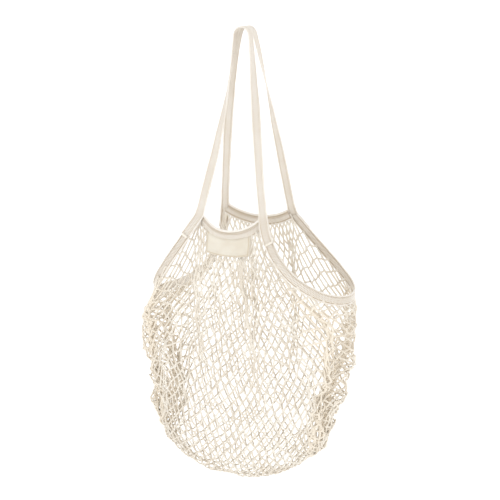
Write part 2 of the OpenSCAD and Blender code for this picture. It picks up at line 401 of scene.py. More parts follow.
def share_and_layer(u):
    """How far column u lies from the middle of its layer, from -1 to 1, and which layer."""
    u = u % COLS
    h = np.minimum(u, COLS - u)
    sx = np.where(u < COLS / 2, RIGHT, LEFT)
    layer = np.where(h <= QUARTER, FRONT, BACK)
    return sx * np.where(h <= QUARTER, h, COLS / 2 - h) / QUARTER, layer


def arc_lengths(x, y):
    return lengths_along(np.stack([x, y], 1))


def spread(s):
    """Share of the way round to the side for column s: the edges' columns take most of it."""
    return np.interp(np.abs(s), [0.0, EDGE_COLS / QUARTER, 1.0], [0.0, EDGE_SHARE, 1.0])


def middle_place(s):
    """Where across the bag column s lies on the net's widest ring."""
    angle = np.linspace(0, math.pi / 2, 200)
    x = half_width(MID_Z) * np.sin(angle)
    arc = arc_lengths(x, half_depth(MID_Z) * np.cos(angle))
    return middle_x(MID_Z) + np.sign(s) * np.interp(spread(s) * arc[-1], arc, x)


def seam_place(s):
    """Place across and height of column s on the bottom seam, which follows the lower outline."""
    span = np.linspace(0, CLOSING_HALF, 300)
    z = outline_z(span)
    arc = arc_lengths(span, z)
    where = spread(s) * arc[-1]
    low = np.interp(where, arc, z)
    return middle_x(low) + np.sign(s) * np.interp(where, arc, span), low


def columns():
    """Hanging places of all knots, (rows + 1, columns, 3), with odd rows half a column on."""
    u = np.arange(2 * COLS) / 2
    p, down = rim(u)
    s, layer = share_and_layer(u)
    top = p + CORD_START * down
    mid_x = middle_place(s)
    seam_x, seam_z = seam_place(s)
    v = np.linspace(0, 1, 90)[:, None]
    z = mix(top[:, 2], seam_z, v)
    fanned = mix(FAN_Z, MID_Z, smooth((np.abs(s) - 0.35) / 0.35))
    high = np.clip((top[:, 2] - z) / (top[:, 2] - fanned), 0, 1)
    low = np.clip((MID_Z - z) / (MID_Z - seam_z), 0, 1)
    x = mix(top[:, 0], mid_x, mix(high**2, smooth(high), 0.4))
    x = mix(x, seam_x, low**1.7)
    inside = np.clip(1 - ((x - middle_x(z)) / np.maximum(half_width(z), 1)) ** 2, 0, 1)
    y = layer * half_depth(z) * np.sqrt(inside)
    y = mix(top[:, 1], y, smooth((top[:, 2] - z) / MOUTH_EASE))
    paths = np.stack([x, y, z], -1)
    k = KNOT_ROW[:, 0] / HALF_ROWS
    knots = np.zeros((HALF_ROWS + 1, 2 * COLS, 3))
    # Rows lie closer together low down where a column has cord to spare, but not at the sides
    for i in range(2 * COLS):
        total = lengths_along(paths[:, i])[-1]
        slack = np.clip(0.93 * BAR * HALF_ROWS / total, 1.04, 1.6)
        at_side = smooth((np.abs(s[i]) - 0.7) / 0.2)
        done = 1 - (1 - k) ** mix(slack, 1.0, at_side)
        done = done + 0.05 * (1 - at_side) * (done - done**10)
        knots[:, i] = at_lengths(paths[:, i], total * done)
    even = (KNOT_ROW % 2 == 0)[..., None]
    return np.where(even, knots[:, 0::2], knots[:, 1::2])


# Width of the band of folds down each side, and how far one column of it reaches sideways
FOLD_W = 30.0
FOLD_REACH = 16.0
# Heights where the bands begin, where they start to draw in, and where they bulge out most
BAND_TOP, BAND_NARROWS, BAND_BULGES = -385.0, -440.0, -468.0
# How far inside the outline they lie at first, and how much further low down
BAND_INSET, BAND_DRAWN_IN = 8.0, 7.0
BULGE = {LEFT: 11.0, RIGHT: 2.0}
# How far single meshes stand out of the outline, and how far the seam's ends are drawn in
LOOPS_OUT = 5.0
SEAM_DRAWN_IN = 13.0
# How far to the left and down the left part of the net sags near the bottom
BELLY_X, BELLY_Z = 6.0, 5.0


def folds(u, s):
    """How far slack columns are folded in from the net's outline, row by row, from 0 to 1."""
    turn = QUARTER * (1 - np.abs(s)) * 2 * FOLD_REACH / FOLD_W
    drift = 0.5 * np.sin(KNOT_ROW / 5.1 + u / 9) + 0.35 * np.sin(KNOT_ROW / 2.3 + 2 + u / 5)
    return 0.5 - 0.5 * (2 / math.pi) * np.arcsin(np.cos(math.pi * (turn + drift)))


def crumple(target, u, s, loose):
    """Folds the slack columns into a band inside the outline; the last ones keep to it."""
    z = target[..., 2]
    side = np.sign(s)
    last = smooth((np.abs(s) - 0.9) / 0.06)
    below_rim = smooth((BAND_TOP - z) / 50)
    above_seam = smooth((z - target[-1:, :, 2]) / 75)
    inset = BAND_INSET + BAND_DRAWN_IN * smooth((BAND_NARROWS - z) / 120)
    band = middle_x(z) + side * (half_width(z) - inset - FOLD_W * folds(u, s))
    place = mix(target[..., 0], band, (1 - last) * below_rim * above_seam)
    bulge = np.where(s > 0, BULGE[RIGHT], BULGE[LEFT]) * np.exp(-(((z - BAND_BULGES) / 50) ** 2))
    loops = LOOPS_OUT * np.minimum(np.abs(wavy(1.2, 1.2, 1.0)[..., 0]), 1.5) * last * above_seam
    place = place + side * (bulge + loops - SEAM_DRAWN_IN * last * (1 - above_seam))
    target[..., 0] = mix(target[..., 0], place, loose)
    target[..., 1] += loose * wavy(2, 3, 4.0)[..., 1]
    belly = bump_between(-s, 0.15, 0.88, 0.3) * smooth((KNOT_ROW - 26) / 6) * (KNOT_ROW < HALF_ROWS)
    target[..., 0] -= BELLY_X * belly
    target[..., 2] -= BELLY_Z * belly
    return target


def wavy(reach_rows, reach_cols, size):
    """Smooth random numbers over rows and columns, going round the bag without a break."""
    field = rng.normal(size=(HALF_ROWS + 1, COLS, 3))
    rows = np.abs(np.fft.fftfreq(HALF_ROWS + 1))[:, None, None]
    cols = np.abs(np.fft.fftfreq(COLS))[None, :, None]
    keep = np.exp(-((rows * reach_rows) ** 2) - (cols * reach_cols) ** 2)
    field = np.fft.ifft2(np.fft.fft2(field, axes=(0, 1)) * keep, axes=(0, 1)).real
    return field / field.std() * size


# Ropes that the net is gathered into: layer, distance from the middle at the height of the
# feet, share of the drop that they lean to the right, strength, width, lowest height
PLEATS = [
    (FRONT, -47, 0.0, 0.85, 22, -580),
    (FRONT, 22, 0.11, 0.85, 24, -610),
    (FRONT, 84, 0.1, 0.6, 18, -540),
    (FRONT, -102, -0.1, 0.7, 18, -560),
    (FRONT, -12, 0.0, 0.5, 12, -520),
    (BACK, -20, 0.0, 0.8, 22, -570),
    (BACK, 52, 0.0, 0.8, 22, -590),
    (BACK, -88, 0.0, 0.7, 18, -550),
]


def gather(knots, layer):
    """Draws the columns near each rope together, most of all in the net's upper half."""
    for side, x0, lean, strength, width, end in PLEATS:
        middle = x0 + lean * (-knots[..., 2] - FOOT_DROP) + 4 * np.sin(knots[..., 2] / 45)
        off = knots[..., 0] - middle
        fade = smooth((knots[..., 2] - end) / 170) * smooth((-knots[..., 2] - 285) / 70)
        near = np.exp(-((off / width) ** 2)) * fade * (layer == side)
        knots[..., 0] -= strength * off * near
        knots[..., 1] += side * 6 * strength * near
    return knots


# ------------ net: how its cords hang

STEPS = 420
# How far each layer stays from the bag's middle plane: in general, and at the bottom seam
LAYER_GAP = 1.2
SEAM_HALF_GAP = 0.9
ROW = np.arange(HALF_ROWS)[:, None]
COL = np.arange(COLS)[None]
ODD = ROW % 2
# Column of the lower knot of each bar that goes down to the left (0) and to the right (1)
BELOW = [(COL - 1 + ODD) % COLS, (COL + ODD) % COLS]


def pull(a, b, link, share_a=0.5):
    """Moves two arrays of points together or apart until they are one link apart."""
    d = b - a
    gap = np.linalg.norm(d, axis=-1, keepdims=True)
    move = d * (1 - link / np.maximum(gap, 1e-6))
    a += share_a * move
    b -= (1 - share_a) * move


def link_lengths(chord, free):
    """A quarter of each bar. Where the net is taut, its knots have slipped to fit their places."""
    slipped = np.clip(BAR, 0.97 * chord, 1.1 * chord)
    return (mix(slipped, BAR, free[:-1, :, 0]) / 4)[..., None]


def hang(target, loose, s):
    """Lets bars of fixed length settle between knots that are drawn to their target places."""
    row = KNOT_ROW[..., None]
    noise = (wavy(2.5, 3.5, 1.7) + wavy(0.5, 0.5, 0.8)) * (0.3 + 0.7 * smooth(row / 9))
    knots = target + noise + loose * wavy(4, 9, 3.5) + loose * wavy(0, 0, 2.2)
    slanting = smooth((np.abs(s)[..., None] - 0.45) / 0.1) * (1 - smooth((row - 10) / 8)) * (1 - loose)
    free = np.maximum(loose, slanting)
    goal = knots.copy()
    bars, links = [], []
    for side in (0, 1):
        top, low = knots[:-1], knots[1:][ROW, BELOW[side]]
        chord = np.linalg.norm(low - top, axis=-1)
        link = link_lengths(chord, free)
        links.append(link)
        rise = np.sqrt(np.maximum((4 * link[..., 0]) ** 2 - chord**2, 0.3) * 0.4)[..., None]
        across = square_to(rng.normal(size=top.shape) * [1.4, 0.6, 0.9], unit(low - top))
        bulge = np.array([0.75, 1.0, 0.75])[:, None]
        k = np.array([0.25, 0.5, 0.75])[:, None]
        bars.append(mix(top[..., None, :], low[..., None, :], k) + (rise * across)[..., None, :] * bulge)
    hold = mix(mix(0.12, 0.09, loose), 0.015, slanting)
    for _ in range(STEPS):
        knots += hold * (goal - knots)
        settle(knots, bars, links)
        knots[0] = target[0]
        knots[-1] = target[-1]
    return knots, bars


def settle(knots, bars, links):
    """One step: weight, the cord's stiffness, then the lengths of all links."""
    for bar in bars:
        bar[..., 2] -= 0.05
        middle = (bar[..., 0, :] + bar[..., 2, :]) / 2 - bar[..., 1, :]
        bar[..., 1, :] += 0.12 * middle
        bar[..., 0, :] -= 0.06 * middle
        bar[..., 2, :] -= 0.06 * middle
    for _ in range(3):
        for below, bar, link in zip(BELOW, bars, links):
            upper = knots[:-1].copy()
            pull(upper, bar[..., 0, :], link, 0.35)
            knots[:-1] = upper
            pull(bar[..., 0, :], bar[..., 1, :], link)
            pull(bar[..., 1, :], bar[..., 2, :], link)
            lower = knots[1:][ROW, below]
            pull(bar[..., 2, :], lower, link, 0.65)
            knots[1:][ROW, below] = lower


def keep_layers_apart(knots, bars, layer, s):
    """Keeps front cords in front of back ones, except where the layers join at the sides."""
    gap = LAYER_GAP * smooth((1 - np.abs(s)) / 0.1)
    for pts in (knots, *bars):
        side, room = layer[: len(pts)], gap[: len(pts)]
        if pts is not knots:
            side, room = side[..., None], room[..., None]
        depth = pts[..., 1] * side
        pts[..., 1] = side * np.where(room > 0.05, np.maximum(depth, room), depth)


def keep_behind_label(knots, bars):
    """Keeps the front of the net behind the label."""
    for pts in (knots, *bars):
        x, y, z = pts[..., 0], pts[..., 1], pts[..., 2]
        covered = (np.abs(x) < LABEL_W / 2 + 2) & (z > LABEL_TOP - LABEL_H - 3) & (y < 0)
        pts[..., 1] = np.where(covered, np.maximum(y, label_y(x, z) + 2.4), y)


# ------------ net: cords and knots as meshes

# How far a cord's middle steps aside at a knot, and to the front or rear next to it
HOOK = 0.4
WRAP = 0.3
CORD_SIDES = 6
KNOT_R = 0.5
KNOT_SIDES = 4
# Share by which slack cord swells as its plies come apart
SWELL = 0.25


def cord_points(knots, bars, lateral, outward):
    """Each column's two cords, which hook round their neighbours' cords at every knot."""
    made = []
    for turn in (0, 1):
        pts = np.zeros((COLS, 4 * HALF_ROWS + 1, 3))
        over = 1 - 2 * turn
        for r in range(HALF_ROWS + 1):
            odd = r % 2
            at = (np.arange(COLS) - odd * (1 - turn)) % COLS
            hook = HOOK if odd == turn else -HOOK
            pts[:, 4 * r] = knots[r, at] + hook * lateral[r, at]
            if r < HALF_ROWS:
                side = abs(turn - odd)
                pts[:, 4 * r + 1 : 4 * r + 4] = bars[side][r, at]
                pts[:, 4 * r + 1] -= over * WRAP * outward[r, at]
                pts[:, 4 * r + 3] += over * WRAP * outward[r + 1, BELOW[side][r, at]]
        made.append(pts)
    return made


def bar_by_bar(points, steps):
    """Smooth cords through points that may turn sharply at every knot, the fourth point on."""
    paths = len(points)
    at = 4 * np.arange(HALF_ROWS)[:, None] + np.arange(5)
    curves = through(points[:, at].reshape(-1, 5, 3), steps)[:, :-1]
    return np.concatenate([curves.reshape(paths, -1, 3), points[:, -1:]], 1)


def knot_rings(knots, lateral, outward):
    """The cord's turn round each knot, as a small closed loop of points."""
    tilt = rng.uniform(-0.6, 0.6, (*knots.shape[:2], 1))
    up = unit(np.cross(lateral, outward))
    across = unit(lateral + tilt * up)[:, :, None]
    angle = np.linspace(0, 2 * math.pi, 8)[:, None]
    loop = 1.1 * np.cos(angle) * across + 0.9 * np.sin(angle) * outward[:, :, None]
    return knots[:, :, None] + loop + 0.4 * np.sin(angle + 3 * tilt[:, :, None]) * up[:, :, None]


SECTORS = [
    "net_front_middle", "net_front_right", "net_right_side", "net_back_right",
    "net_back_middle", "net_back_left", "net_left_side", "net_front_left",
]
SECTOR_COLS = COLS // len(SECTORS)


def net_sector(name, at, cords, rings, crowded, material):
    """The cords and knots of one sector's columns as one piece."""
    lines = bar_by_bar(np.concatenate([c[at] for c in cords]), 2)
    paths, count = lines.shape[:2]
    loops = rings[1:-1, at].reshape(-1, rings.shape[2], 3)
    knot_verts, knot_faces, knot_uv = tubes(loops, KNOT_R, KNOT_SIDES)
    row = np.linspace(0, HALF_ROWS, count)
    crowd = np.array([np.interp(row, KNOT_ROW[:, 0], crowded[:, c]) for c in (*at, *at)])
    thick = CORD_R * (1 + 0.06 * rng.normal(size=(paths, count)) + SWELL * crowd)
    verts, faces, uv = tubes(lines, thick, CORD_SIDES)
    knot_crowd = np.repeat(crowded[1:-1, at].reshape(-1), rings.shape[2] * KNOT_SIDES)
    piece = mesh_piece(
        name,
        np.concatenate([verts, knot_verts]),
        [*faces, *[f + len(verts) for f in knot_faces]],
        material,
        np.concatenate([uv, knot_uv]),
        {"crowded": np.concatenate([np.repeat(crowd.ravel(), CORD_SIDES), knot_crowd])},
    )
    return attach(piece, "bag")


def build_net(material):
    """The netting, as eight sectors side by side that share their cords' knots."""
    target = columns()
    u = COL + 0.5 * (KNOT_ROW % 2)
    s, layer = share_and_layer(u)
    target = gather(target, layer)
    target[-1, :, 1] += SEAM_HALF_GAP * layer[-1]
    away_from_ends = smooth(KNOT_ROW / 3) * smooth((HALF_ROWS - KNOT_ROW) / 6)
    loose = smooth((np.abs(s) - 0.57) / 0.12) * away_from_ends
    target = crumple(target, u, s, loose)
    lateral = unit(np.roll(target, -1, 1) - np.roll(target, 1, 1) + 1e-6)
    outward = square_to(wall_out(target), lateral)
    knots, bars = hang(target, loose[..., None], s)
    keep_layers_apart(knots, bars, layer, s)
    keep_behind_label(knots, bars)
    cords = cord_points(knots, bars, lateral, outward)
    rings = knot_rings(knots, lateral, outward)
    # crowded sets both how far slack cords swell and how much painted shade they get in the cord
    # material
    crowded = loose * (1 - 0.7 * smooth((np.abs(s) - 0.88) / 0.1))
    pieces = []
    for i, name in enumerate(SECTORS):
        at = (i * SECTOR_COLS - SECTOR_COLS // 2 + np.arange(SECTOR_COLS)) % COLS
        pieces.append(net_sector(name, at, cords, rings, crowded, material))
    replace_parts(pieces[0], "net_body")


# ------------ knitted tape

# Length of a knit course along the tape, and width of a wale across it
RIDGE = 2.5
WALE = 2.5
# Extra width of the edge that holds the net's rim, and of the other edge's fold
HEM_W = 1.5
EDGE_LIP = 1.8
FACE_POINTS = 36
REAR_POINTS = 24
TAPE_STEP = 0.525
# Single stitches: their rows across the tape, how high their middle lies, length and spacing
STITCH_ROWS = (TAPE_W / 2 - STITCH_INSET, -TAPE_W / 2 + STITCH_INSET)
STITCH_LIFT = TAPE_T / 2 - 0.42
STITCH_LENGTH, STITCH_PITCH = 2.5, 3.2
THREAD_SIDES = 6
# Distance from a tape's middle beyond which its knit courses scallop the edge
SCALLOPED = 6.0


def tape_relief(w, s, hem, lip):
    """Height of the knit at a distance w from the tape's middle and s along it: rolled edges, a
    groove inside each (two inside the fold of an edge tape), and the waffle between them."""
    inset = TAPE_W / 2 + np.where(w * hem > 0, HEM_W, lip) - np.abs(w)
    roll = np.where(w * hem > 0, 1.35, 1.05 + 0.42 * lip)
    rolled = 0.6 * np.exp(-(((inset - roll) / (0.75 * roll)) ** 2))
    depth = 0.75 if lip else 0.6 if hem else 0.4
    groove = -depth * np.exp(-(((inset - 2.3 * roll) / 0.75) ** 2))
    if lip:
        second = np.exp(-(((inset - 2.3 * roll - 2.4) / 0.6) ** 2)) * (w * hem < 0)
        groove = groove - 0.5 * second
    inner = smooth((inset - 2.8 * roll) / 0.7)
    wale = np.cos(math.pi * w / WALE)
    course = np.cos(2 * math.pi * s / RIDGE)
    waffle = inner * (0.5 * course * wale + 0.02)
    edge = 0.14 * (1 - inner) * np.cos(2 * math.pi * s / RIDGE + w)
    return rolled + groove + waffle + edge


def tape_section(hem, lip):
    """Points round the tape: distance from its middle, side (1 front, -1 rear) and fullness."""
    front = np.linspace(-1, 1, FACE_POINTS)
    rear = np.linspace(1, -1, REAR_POINTS)
    share = np.concatenate([front, rear])
    side = np.concatenate([np.ones(FACE_POINTS), -np.ones(REAR_POINTS)])
    full = np.sqrt(1 - 0.97 * np.abs(share) ** 7)
    return share * (TAPE_W / 2 + np.where(share * hem > 0, HEM_W, lip)), side, full


def tape_frames(pts, outs, ease=8):
    """Evenly spaced points along a tape with its facing and widthwise directions."""
    where = spaced(pts, TAPE_STEP)
    p = blurred(at_lengths(pts, where), ease)
    n = blurred(at_lengths(pts, where, outs), ease)
    t = tangents(p)
    n = square_to(n, t)
    return where, p, n, np.cross(n, t)


def tape(name, frames, material, thin=1.0, shift=0.0, hem=0, lip=0, ribs=1.0, narrow=1.0, seed=0):
    """A length of doubled knit tape. thin, shift and narrow change its thickness, lift and width
    along it, hem is the edge that holds the net's rim (1, -1 or 0), lip is how far the fold of the
    other edge stands out, and ribs is the knit's depth and how strong its painted relief shade is."""
    where, p, n, w = frames
    across, side, full = tape_section(hem, lip)
    wander = np.random.default_rng(seed)
    slack = blurred(wander.normal(size=(len(p), 3)), 40) * [1.2, 0.7, 0.25]
    thin, shift, narrow, ribs = ((np.zeros(len(p)) + v)[:, None] for v in (thin, shift, narrow, ribs))
    s = where[:, None]
    relief = tape_relief(across[None], s, hem, lip)
    height = side * (TAPE_T / 2 - 0.3) * full * thin + side * full * relief * ribs * thin
    height = height + shift + slack[:, 1:2]
    wide = across * (1 + 0.35 * slack[:, 2:3] / 7) * narrow + slack[:, :1]
    wide = wide + np.sign(across) * 0.12 * np.cos(2 * math.pi * s / RIDGE) * (np.abs(across) > SCALLOPED)
    verts = p[:, None] + w[:, None] * wide[..., None] + n[:, None] * height[..., None]
    rings, sides = len(p), len(across)
    uv = tube_uv(1, rings, sides, where[None])
    # Painted shade for the knit's hollows, stored as the relief attribute; ribs sets how strong it is
    shade = mix(0.14, relief, ribs)
    return mesh_piece(
        name, verts.reshape(-1, 3), tube_faces(1, rings, sides), material, uv,
        {"relief": np.broadcast_to(shade, (rings, sides)).ravel()},
    )


def net_edge(frames):
    """Which edge of a tape, 1 or -1, is the lower one at its middle, where the net hangs."""
    return -float(np.sign(frames[3][len(frames[0]) // 2, 2]))


def thread_piece(name, lines, radius, thread):
    """Sewing thread along each of many lines, with its radius at every point of a line."""
    verts, faces, uv = tubes(lines, radius, THREAD_SIDES)
    return mesh_piece(name, verts, faces, thread, uv)


def stitches(name, frames, thread, start, stop):
    """Two rows of single stitches along a tape, each a short plump loop of thread."""
    where, p, n, w = frames
    count = int((stop - start) / STITCH_PITCH)
    lines = []
    wander = np.random.default_rng(len(name) + 7)
    profile = np.array([0.0, 0.07, 0.3, 0.7, 0.93, 1.0])
    sunk = np.array([-0.55, -0.1, 0.12, 0.12, -0.1, -0.55])
    for row in STITCH_ROWS:
        for i in range(count):
            s = start + STITCH_PITCH * (i + 0.5 * wander.uniform(0.9, 1.1)) - STITCH_PITCH / 4
            at = s + profile * STITCH_LENGTH
            slant = 0.22 * (profile - 0.5) + 0.12 * wander.normal()
            base, up, side = (read_at(at, where, v) for v in (p, n, w))
            lines.append(base + side * (row + slant)[:, None] + up * (STITCH_LIFT + sunk)[:, None])
    return thread_piece(name, np.array(lines), np.array([0.12, 0.3, 0.38, 0.38, 0.3, 0.12]), thread)


# Share of a side edge from its foot to the bar tack, and how far the straps lie off it there
TACK_AT = 0.06
FOOT_LIFT = 0.75
# Depth of the straps' knit, which is pulled flat, and how strong the painted relief shade on them is
STRAP_RIBS = 0.7


def lapped(sx, sy):
    """The stretch of a side edge that a strap's end lies on, from the foot to the bar tack."""
    t = np.linspace(0, TACK_AT, 40)
    return side_edge(sx, t if sy == FRONT else 1 - t)


def lap_length(sx, sy):
    return lengths_along(lapped(sx, sy))[-1]


def build_handle(sy, cotton, thread):
    """A handle's strap and stitching. Its ends run on down over the side bindings (over), and
    dive into them at the bar tacks (dive)."""
    half = handle_half(sy)
    right_end, left_end = lapped(RIGHT, sy)[1:], lapped(LEFT, sy)[1:]
    mirror = half * [-1, 1, 1]
    pts = np.concatenate([left_end[::-1], mirror[:0:-1], half, right_end])
    outs = [wall_out(left_end)[::-1], handle_face(sy, mirror)[:0:-1]]
    outs += [handle_face(sy, half), wall_out(right_end)]
    frames = tape_frames(pts, np.concatenate(outs), ease=14)
    where = frames[0]
    from_left, from_right = where, where[-1] - where
    above = np.minimum(from_left - lap_length(LEFT, sy), from_right - lap_length(RIGHT, sy))
    over = 1 - smooth(above / 16)
    dive = 1 - smooth(np.minimum(from_left, from_right) / 14)
    lift = FOOT_LIFT * over - 0.45 * dive
    thin = 1 - 0.35 * over - 0.1 * dive
    name = NAME[sy] + "_handle"
    strap = tape(
        name + "_webbing", frames, cotton, thin, lift, ribs=mix(STRAP_RIBS, 1, over),
        narrow=1 + 0.14 * over, seed=3 if sy == FRONT else 4,
    )
    raised = (where, frames[1] + frames[2] * (lift + TAPE_T / 2 * (thin - 1))[:, None], *frames[2:])
    sewn = stitches(name + "_thread", raised, thread, 3.0, where[-1] - 3.0)
    for piece, node in ((strap, "_strap"), (sewn, "_stitching")):
        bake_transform(piece)
        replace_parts(piece, name + node)


def build_side(sx, cotton, thread):
    """The binding of a side opening, tucked under the straps at both feet. The left one's rear
    half curls up on itself."""
    pts = side_edge(sx, np.linspace(0.006, 0.994, 300))
    frames = tape_frames(pts, wall_out(pts))
    where = frames[0]
    front_lap, back_lap = lap_length(sx, FRONT), lap_length(sx, BACK)
    clear = np.minimum(where - front_lap, where[-1] - where - back_lap)
    over = 1 - smooth((clear + 8) / 10)
    curled = 0.3 * bump_between(where / where[-1], 0.5, 0.97) * (sx == LEFT)
    name = SIDE_NAME[sx] + "_side"
    # The curled rear half of the left binding gets shallow ribs, which also take most of the painted
    # relief shade off it
    binding = tape(
        name + "_tape", frames, cotton, 1 - 0.4 * over + 0.6 * curled, -0.55 * over, net_edge(frames),
        ribs=1 - 2.6 * curled, narrow=1 - curled, seed=5 + sx,
    )
    seen = where[-1] * (0.54 if sx == LEFT else 1) - back_lap
    sewn = stitches(name + "_thread", frames, thread, front_lap + 3, seen)
    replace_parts(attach(binding, "bag"), name + "_binding")
    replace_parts(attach(sewn, "bag"), name + "_stitching")


def build_edge(sy, cotton, thread):
    """A front or back binding, whose ends are tucked under the straps."""
    pts = edge_curve(sy, np.linspace(-0.93, 0.93, 120))
    pts[:, 1] -= sy * EDGE_TUCK * (np.abs(pts[:, 0]) / FOOT_X[FRONT]) ** 4
    frames = tape_frames(pts, wall_out(pts))
    name = NAME[sy] + "_edge"
    binding = tape(name + "_tape", frames, cotton, hem=net_edge(frames), lip=EDGE_LIP, seed=9 + sy)
    sewn = stitches(name + "_thread", frames, thread, 5, frames[0][-1] - 5)
    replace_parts(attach(binding, "bag"), name + "_binding")
    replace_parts(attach(sewn, "bag"), name + "_stitching")


# ------------ bar tacks, closing cord and label

TACK_W, TACK_H = 11.0, 3.2
TACK_TURNS = 17
TACK_THREAD_R = 0.36
CLOSING_R = 1.3


def build_tack(sx, sy, thread):
    """A bar of dense zigzag stitches across the layers below a foot."""
    t = TACK_AT if sy == FRONT else 1 - TACK_AT
    step = 0.001 if sy == FRONT else -0.001
    p, ahead = side_edge(sx, t), side_edge(sx, t + step)
    along = unit(ahead - p)
    out = square_to(wall_out(p), along)
    across = np.cross(out, along)
    k = np.arange(2 * TACK_TURNS + 1)
    high = TACK_H / 2 * np.where(k % 2 == 0, -1, 1)
    wide = np.linspace(-TACK_W / 2, TACK_W / 2, len(k))
    corner = p + across * wide[:, None] + along * high[:, None] + out * (TAPE_T / 2 + 0.25)
    path = through(corner[None], 5)
    lift = 0.35 * np.abs(np.sin(math.pi * np.linspace(0, 2 * TACK_TURNS, path.shape[1])))
    path = path + (out * lift[:, None])[None]
    name = f"{NAME[sy]}_{SIDE_NAME[sx]}"
    piece = thread_piece(name + "_bar_tack", path, TACK_THREAD_R, thread)
    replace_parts(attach(piece, "bag"), name + "_tack")


def build_closing(material):
    """The three-ply cord laced through the last knots, along the net's lower outline."""
    span = CLOSING_HALF * np.sin(math.pi / 2 * np.linspace(-1, 1, 400))
    low = outline_z(span)
    pts = np.stack([span + middle_x(low), 0 * span, low + 0.6], 1)
    where = spaced(pts, 0.6)
    pts = at_lengths(pts, where)
    lace = 2 * math.pi * where / (where[-1] / (COLS / 2))
    pts[:, 1] += 1.5 * np.sin(lace)
    pts[:, 2] += 0.8 * np.sin(0.37 * lace + 1)
    verts, faces, uv = tubes(pts[None], CLOSING_R, 15, lobes=3, lobe=0.13, twist=7.0)
    piece = mesh_piece("closing_cord", verts, faces, material, uv)
    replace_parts(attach(piece, "bag"), "bottom_closing_cord")


LABEL_COLS, LABEL_ROWS = 120, 48
# How much of the label is turned under, and how far its stitches are from its edges
HEM = 4.0
SEWN_IN = 1.8


def label_frame():
    """The label's curved middle surface: points across (columns) and down (rows)."""
    x = np.linspace(-LABEL_W / 2, LABEL_W / 2, LABEL_COLS)[:, None]
    drop = np.linspace(0, LABEL_H, LABEL_ROWS)[None]
    edge = edge_curve(FRONT, x[:, 0] / FOOT_X[FRONT])
    sag = (edge[:, 2] - edge[:, 2].min())[:, None]
    z = LABEL_TOP - drop + sag * (1 - 0.55 * drop / LABEL_H)
    y = label_y(x + 0 * z, z)
    ripple = 0.7 * np.sin(x / 7.5 + drop / 11) * np.sin(drop / 9 + 0.4)
    wrinkle = ripple + 0.45 * np.sin(x / 4.1 - drop / 6)
    y = y - 0.6 * wrinkle * smooth((drop - 5) / 6) - 0.8 * smooth((drop - 20) / 8)
    return np.stack([x + 0 * z, y, z], -1), x, drop


def label_stitches(front, x, drop, thread):
    """Single stitches along the label's two ends and its lower edge."""
    right = LABEL_W / 2 - SEWN_IN
    low = LABEL_H - SEWN_IN
    rows = (drop > SEWN_IN) & (drop < low)
    lines = [front[np.abs(x) < right, np.searchsorted(drop, low)]]
    lines += [front[np.searchsorted(x, end), rows] for end in (-right, right)]
    profile = 1.9 * np.array([0.0, 0.06, 0.3, 0.7, 0.94, 1.0])
    pts = []
    for line in lines:
        for start in spaced(line, 2.4)[:-1]:
            stitch = at_lengths(line, start + profile)
            stitch[:, 1] -= np.array([-0.3, 0.1, 0.25, 0.25, 0.1, -0.3])
            pts.append(stitch)
    radius = np.array([0.08, 0.2, 0.26, 0.26, 0.2, 0.08])
    sewn = thread_piece("label_thread", np.array(pts), radius, thread)
    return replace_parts(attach(sewn, "bag"), "label_stitching")


def build_label(cloth, thread):
    """A blank woven label with turned edges, sewn on below the front binding."""
    mid, x, drop = label_frame()
    from_edge = np.minimum(LABEL_W / 2 - np.abs(x), LABEL_H - drop)
    turned = 0.55 * (1 - smooth((from_edge - HEM) / 0.8))
    rounded = smooth(from_edge / 0.6 + 0.25)
    sewn_in = np.exp(-(((from_edge - SEWN_IN) / 0.7) ** 2)) * (drop > SEWN_IN - 1)
    thick = (0.35 + turned - 0.3 * sewn_in) * rounded
    front = mid - np.array([0, 1.0, 0]) * thick[..., None]
    rear = mid + np.array([0, 0.3, 0]) * rounded[..., None]
    verts = np.concatenate([front.reshape(-1, 3), rear.reshape(-1, 3)])
    i = np.arange(LABEL_COLS - 1)[:, None] * LABEL_ROWS
    j = np.arange(LABEL_ROWS - 1)[None]
    face = np.stack([i + j, i + j + 1, i + j + LABEL_ROWS + 1, i + j + LABEL_ROWS], -1).reshape(-1, 4)
    half = LABEL_COLS * LABEL_ROWS
    rim_ids = np.concatenate([
        np.arange(LABEL_COLS) * LABEL_ROWS,
        (LABEL_COLS - 1) * LABEL_ROWS + np.arange(1, LABEL_ROWS),
        np.arange(LABEL_COLS - 2, -1, -1) * LABEL_ROWS + LABEL_ROWS - 1,
        np.arange(LABEL_ROWS - 2, 0, -1),
    ])
    after = np.roll(rim_ids, -1)
    border = np.stack([rim_ids, after, after + half, rim_ids + half], 1)
    faces = [face, face[:, ::-1] + half, border]
    place = np.concatenate([np.stack([x + 0 * drop, drop + 0 * x], -1).reshape(-1, 2)] * 2)
    uv = place[np.concatenate([f.ravel() for f in faces])]
    # Painted shade for the sewn-in groove, darkened in the label material
    shade = {"relief": np.tile(-sewn_in.ravel(), 2)}
    label = mesh_piece("woven_label", verts, faces, cloth, uv, shade)
    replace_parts(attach(label, "bag"), "label_patch")
    sewn = label_stitches(front, x[:, 0], drop[0], thread)


# ------------ materials


def srgb(r, g, b):
    """Linear colour, with alpha 1, from 0-255 display values."""
    return (*(((v / 255 + 0.055) / 1.055) ** 2.4 for v in (r, g, b)), 1)


